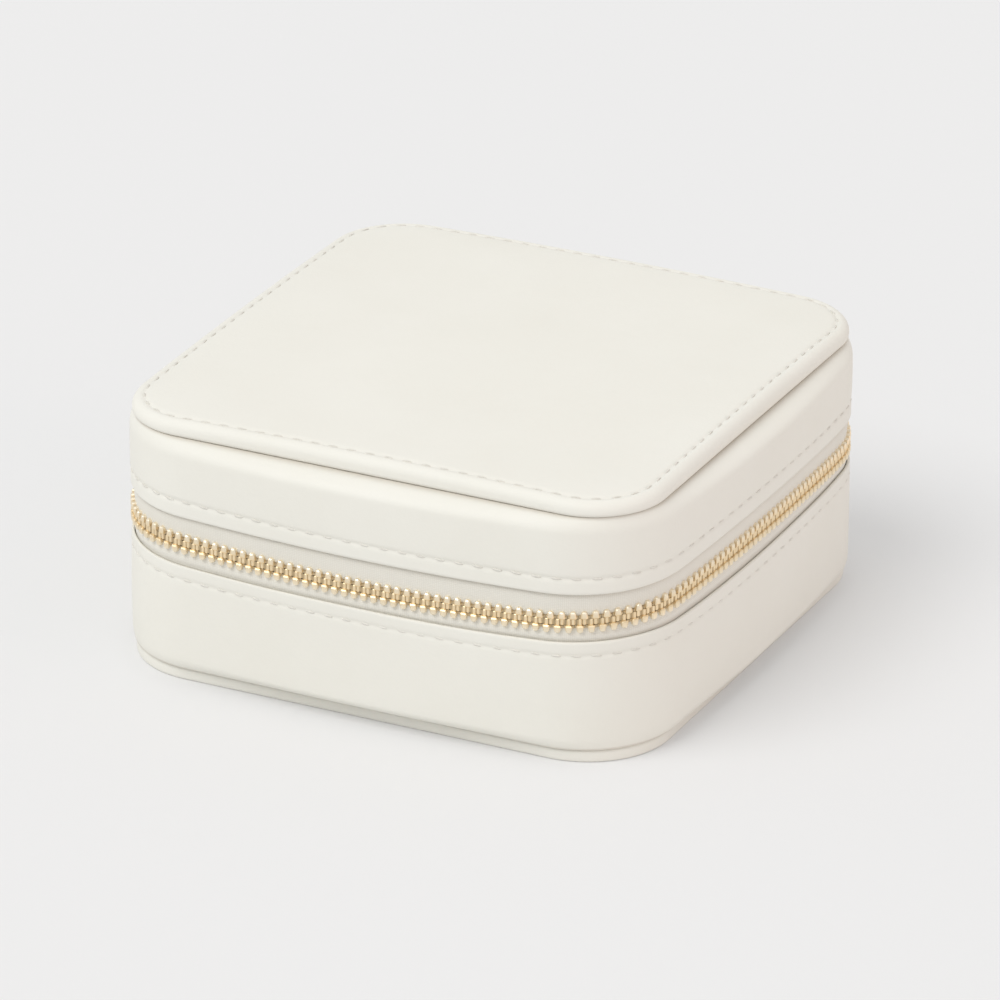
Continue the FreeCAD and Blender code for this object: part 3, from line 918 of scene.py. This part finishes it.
dress(zipTape("base", -1, baseEdge - zipSizes["tuck"]), "zip_tape", "base", ["base_zip_tape"])
dress(zipTape("lid", 1, lidEdge + zipSizes["tuck"]), "zip_tape", "lid", ["lid_zip_tape"])
dress(softened("zip_slider_body", "zipSlider", 0.16 * mm), "zip_brass", "zip_slider", ["zip_slider_body"])
dress(softened("zip_pull_tab", "zipPull", 0.18 * mm), "zip_brass", "zip_pull", ["zip_pull_tab"])
for body in ("base", "lid"):
    stops = softened(body + "_zip_stops", body + "ZipStops", 0.2 * mm, 3)
    dress(stops, "zip_brass", body, [body + "_zip_stops"])
print("zip ready")


# hinge at the back

hinge = {"bendBelow": 2.6 * mm, "bendAbove": 2.6 * mm, "steps": 26, "liningDepth": 2.8 * mm,
         "liningThickness": 0.5 * mm}
acrossBack = stationsRound([(4, hingeStart, hingeEnd)]) + [(4, hingeEnd)]


def hingeBand(name, depth, thickness, bottom, top, slot):
    heights = [bottom + (top - bottom) * i / hinge["steps"] for i in range(hinge["steps"] + 1)]
    rows = [loopAt(inset(wallPlan, depth), height, acrossBack) for height in heights]
    rows += [loopAt(inset(wallPlan, depth + thickness), height, acrossBack) for height in reversed(heights)]
    piece = sweep(name, rows, roundPath=False)
    dress(piece, slot, None)
    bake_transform(piece)
    return piece


strip = hingeBand("hingeStrip", tapeOuter, zipSizes["tapeThickness"],
                  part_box("hinge_strip")[0][2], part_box("hinge_strip")[1][2], "cream_leather")
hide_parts("hinge_strip")
stripLining = hingeBand("hingeLining", hinge["liningDepth"], hinge["liningThickness"],
                        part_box("hinge_lining")[0][2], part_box("hinge_lining")[1][2], "beige_velvet")
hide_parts("hinge_lining")
print("hinge ready")


# velvet inside

velvet = {"rimRound": 0.5 * mm, "fold": 0.55 * mm, "rimEase": 0.2 * mm, "rimDepth": 1.3 * mm,
          "boardRound": 0.45 * mm}


def wallLining(name, rim, far):
    # lines the wall from far to the rim, then folds over the rim to the tape
    side = math.copysign(1, rim - far)
    outer, rimPlan = inset(roomPlan, -liningThickness), inset(wallPlan, velvet["rimDepth"])
    ease, foldEnd = velvet["rimRound"], rim - side * velvet["fold"]
    rows = [loopAt(roomPlan, far + (rim - side * ease - far) * i / 6) for i in range(7)]
    for sine, cosine in quarterTurn(30)[1:]:
        rows.append(loopAt(inset(roomPlan, -ease * (1 - cosine)), rim - side * ease * (1 - sine)))
    start = inset(roomPlan, -ease)
    rows += [loopAt(between(start, rimPlan, share), rim) for share in (0.2, 0.4, 0.6, 0.8, 0.96)]
    rows.append(loopAt(rimPlan, rim - side * velvet["rimEase"]))
    rows += [loopAt(rimPlan, foldEnd), loopAt(outer, foldEnd), loopAt(outer, far)]
    return sweep(name, rows)


def velvetBoard(name, plan, bottom, top):
    ease = velvet["boardRound"]
    rows = []
    for height, side in ((bottom, 1), (top, -1)):
        half = [loopAt(inset(plan, depth * mm), height) for depth in (40, 25, 10, 3)]
        for sine, cosine in quarterTurn(30):
            half.append(loopAt(inset(plan, ease * (1 - sine)), height + side * ease * (1 - cosine)))
        rows += half if side == 1 else half[::-1]
    return sweep(name, rows, roundAcross=False, fans=(True, True))


liningPlan = inset(roomPlan, -liningThickness)
liningGap = 0.05 * mm
panelLow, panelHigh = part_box("lid_lining_panel")[0][2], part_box("lid_lining_panel")[1][2]
baseLining = wallLining("baseWallLining", baseRim, floorTop + liningGap)
dress(baseLining, "beige_velvet", "base", ["base_wall_lining"])
dress(wallLining("lidWallLining", lidRim, lidLiningTop), "beige_velvet", "lid", ["lid_wall_lining"])
floorLining = velvetBoard("baseFloorLining", liningPlan, floorBottom, floorTop)
dress(floorLining, "beige_velvet", "base", ["base_floor_lining"])
liningPanel = velvetBoard("lidLiningPanel", liningPlan, panelLow, panelHigh)
dress(liningPanel, "beige_velvet", "lid", ["lid_lining_panel"])
for node, name in (("long_divider", "longDivider"), ("short_divider_left", "shortDividerLeft"),
                   ("short_divider_right", "shortDividerRight")):
    dress(softened(node, name, 0.6 * mm, 4), "beige_velvet", "base", [node])
dress(softened("lid_mirror_rim", "lidMirrorRim", 0.3 * mm, 3), "beige_velvet", "lid", ["lid_mirror_rim"])
print("linings ready")


# ring rolls

roll = {"endRound": 3.0 * mm, "stations": 72, "aroundCrown": 22, "crown": 0.9, "footRound": 0.5 * mm,
        "footLean": 0.1 * mm, "pinch": 0.32, "pinchPower": 2.5, "uneven": 0.14 * mm, "unevenScale": 130,
        "unevenReach": 6 * mm, "gap": 0.25 * mm, "slack": 0.4 * mm}
stuffing = {"scale": 5.0, "voxel": 1.0 * mm, "pressure": 4.0, "frames": 20, "mostMove": 0.55 * mm,
            "footHeight": 0.9 * mm}


def rollReach(y):
    # half length of a roll where it meets the rounded corner of the room
    half, corner = roomPlan[:2]
    centre = half - corner
    beyond = max(-y - centre, 0)
    return centre + math.sqrt(max(corner ** 2 - beyond ** 2, 0)) - roll["gap"]


def rollSection(low, high):
    # flat foot, nearly upright sides and a round crown, as (y, z) from the front foot round
    middle, wide = (low[1] + high[1]) / 2, (high[1] - low[1]) / 2
    crown, foot, lean = roll["crown"], roll["footRound"], roll["footLean"]
    shoulder = high[2] - crown * wide
    points = [(middle - wide + foot, low[2]), (middle - wide + lean, low[2] + foot)]
    points += [(middle - wide, low[2] + (shoulder - low[2]) * share) for share in (0.25, 0.5, 0.75)]
    for i in range(roll["aroundCrown"] + 1):
        angle = math.pi * (1 - i / roll["aroundCrown"])
        points.append((middle + wide * math.cos(angle), shoulder + crown * wide * math.sin(angle)))
    points += [(middle + wide, low[2] + (shoulder - low[2]) * share) for share in (0.75, 0.5, 0.25)]
    points += [(middle + wide - lean, low[2] + foot), (middle + wide - foot, low[2])]
    return points, middle


def stuffed(piece, low, high):
    # blows a slack cover up by a cloth simulation at a larger scale, caps the move and keeps it in its box
    scale = stuffing["scale"]
    piece.data.transform(Matrix.Scale(scale, 4))
    remesh = piece.modifiers.new("remesh", "REMESH")
    remesh.mode, remesh.voxel_size = "VOXEL", stuffing["voxel"] * scale
    slack = newPiece("slackCover", asMesh(piece))
    before = [vert.co.copy() for vert in slack.data.vertices]
    foot = slack.vertex_groups.new(name="foot")
    heldBelow = (low[2] + stuffing["footHeight"]) * scale
    foot.add([i for i, point in enumerate(before) if point.z < heldBelow], 1.0, "REPLACE")
    cloth = slack.modifiers.new("cloth", "CLOTH")
    cloth.settings.use_pressure = True
    cloth.settings.uniform_pressure_force = stuffing["pressure"]
    cloth.settings.vertex_group_mass = "foot"
    cloth.settings.effector_weights.gravity = 0
    cloth.collision_settings.use_collision = False
    for number in range(1, stuffing["frames"] + 1):
        scene.frame_set(number)
    blown = asMesh(slack)
    scene.frame_set(1)
    for vert, start in zip(blown.vertices, before):
        move = vert.co - start
        most = stuffing["mostMove"] * scale
        if move.length > most:
            move *= most / move.length
        vert.co = [min(max(value / scale, low[k]), high[k]) for k, value in enumerate(start + move)]
    bpy.data.objects.remove(slack)
    name = piece.name
    bpy.data.objects.remove(piece)
    smooth = newPiece(name, blown)
    rounder = smooth.modifiers.new("rounder", "SUBSURF")
    rounder.levels = rounder.render_levels = 1
    finished = asMesh(smooth)
    smooth.modifiers.clear()
    smooth.data = finished
    finished.shade_smooth()
    return smooth


def ringRoll(number):
    low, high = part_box("ring_roll_" + str(number))
    slack = roll["slack"]
    low, high = Vector(low) + Vector((slack, slack, 0)), Vector(high) - Vector((slack, slack, slack))
    section, middle = rollSection(low, high)
    rows = []
    for i in range(roll["stations"] + 1):
        share = math.sin(math.pi / 2 * (2 * i / roll["stations"] - 1))
        row = []
        for y, z in section:
            reach = rollReach(y) - slack
            x = share * reach
            near = max(abs(x) - (reach - roll["endRound"]), 0) / roll["endRound"]
            pinch = 1 - roll["pinch"] * near ** roll["pinchPower"]
            point = Vector((x, middle + (y - middle) * pinch, low[2] + (z - low[2]) * pinch))
            wave = noise.noise(point * roll["unevenScale"]) * roll["uneven"]
            wave *= min((z - low[2]) / roll["unevenReach"], 1)
            point.z += wave - roll["uneven"]
            row.append(point)
        rows.append(row)
    cover = sweep("ringRoll" + str(number), rows, roundAcross=False, fans=(True, True))
    return stuffed(cover, *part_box("ring_roll_" + str(number)))


for number in range(1, 5):
    cushion = dress(ringRoll(number), "beige_velvet", "base", ["ring_roll_" + str(number)])
print("ring rolls ready")


# camera at the photograph's angle: from the front right, a little above

shot = {"azimuth": 26.05, "elevation": 24.19, "distance": 1413.6 * mm, "roll": 0.186, "focalPixels": 8086,
        "imagePixels": 1000, "sensor": 36.0, "target": (2.13 * mm, -2.01 * mm, 22.0 * mm)}


def placeCamera():
    azimuth, elevation, tilt = (math.radians(shot[key]) for key in ("azimuth", "elevation", "roll"))
    level = math.cos(elevation)
    back = Vector((math.sin(azimuth) * level, -math.cos(azimuth) * level, math.sin(elevation)))
    right = Vector((math.cos(azimuth), math.sin(azimuth), 0))
    up = back.cross(right)
    across = math.cos(tilt) * right + math.sin(tilt) * up
    upward = math.cos(tilt) * up - math.sin(tilt) * right
    data = bpy.data.cameras.new("shotCamera")
    data.sensor_width = shot["sensor"]
    data.lens = shot["focalPixels"] / shot["imagePixels"] * shot["sensor"]
    data.clip_start, data.clip_end = 0.01, 50
    camera = newPiece("shotCamera", data)
    turned = Matrix((across, upward, back)).transposed().to_4x4()
    camera.matrix_world = Matrix.Translation(Vector(shot["target"]) + back * shot["distance"]) @ turned
    scene.camera = camera


placeCamera()


# floor and light

studio = {"floorSize": 6.0, "floorTone": 0.80, "floorVary": 0.015, "floorDrop": 0.02 * mm, "floorGlow": 0.20,
          "glowTone": 0.84, "skyTone": 0.71, "skyStrength": 1.0,
          "keyLevel": 1.28, "keySpread": 40, "keyFrom": (-0.27, -0.50, 0.80), "keyTint": (1.0, 0.998, 0.99),
          "fillLevel": 0.40, "fillSpread": 25, "fillFrom": (0.95, 0.05, 0.14), "fillTint": (1.0, 0.64, 0.54)}


def paleFloor():
    f = Finish("paleFloor")
    tone = studio["floorTone"]
    colour = f.ramp(f.noise(1.5, 2), (tone,) * 3, (tone + studio["floorVary"],) * 3)
    f.set(Base_Color=colour, Roughness=0.85, Specular_IOR_Level=0.15)
    f.bump([(f.noise(900, 2), 0.02, 0.0001)])
    glow = f.node("ShaderNodeEmission", {"Color": (studio["glowTone"],) * 3 + (1,), "Strength": 1.0})
    rays = f.node("ShaderNodeLightPath").outputs
    mirrored = f.math("MAXIMUM", rays["Is Glossy Ray"], rays["Is Transmission Ray"])
    seen = f.math("MAXIMUM", rays["Is Camera Ray"], mirrored)
    share = f.math("MULTIPLY", seen, studio["floorGlow"])
    both = f.node("ShaderNodeMixShader", {0: share, 1: f.shader.outputs[0], 2: glow.outputs[0]})
    f.tree.links.new(both.outputs[0], f.tree.nodes["Material Output"].inputs["Surface"])
    half = studio["floorSize"] / 2
    mesh = bpy.data.meshes.new("floor")
    corners = [(-half, -half, 0), (half, -half, 0), (half, half, 0), (-half, half, 0)]
    mesh.from_pydata(corners, [], [(0, 1, 2, 3)])
    floor = newPiece("floor", mesh)
    mesh.materials.append(f.material)
    floor.location.z = -studio["floorDrop"]


def softLamp(name):
    # a wide, even lamp that shines from one side
    data = bpy.data.lights.new(name + "Lamp", "SUN")
    data.energy, data.color = studio[name + "Level"], studio[name + "Tint"]
    data.angle = math.radians(studio[name + "Spread"])
    lamp = newPiece(name + "Lamp", data)
    lamp.location = studio[name + "From"]
    lamp.rotation_euler = (-Vector(studio[name + "From"])).to_track_quat("-Z", "Y").to_euler()


def paleSky():
    world = bpy.data.worlds.new("paleSky")
    world.use_nodes = True
    sky = world.node_tree.nodes["Background"]
    sky.inputs["Color"].default_value = (studio["skyTone"],) * 3 + (1,)
    sky.inputs["Strength"].default_value = studio["skyStrength"]
    scene.world = world


paleFloor()
paleSky()
softLamp("key")
softLamp("fill")
scene.view_settings.view_transform = "Standard"
print("camera, floor and light ready")
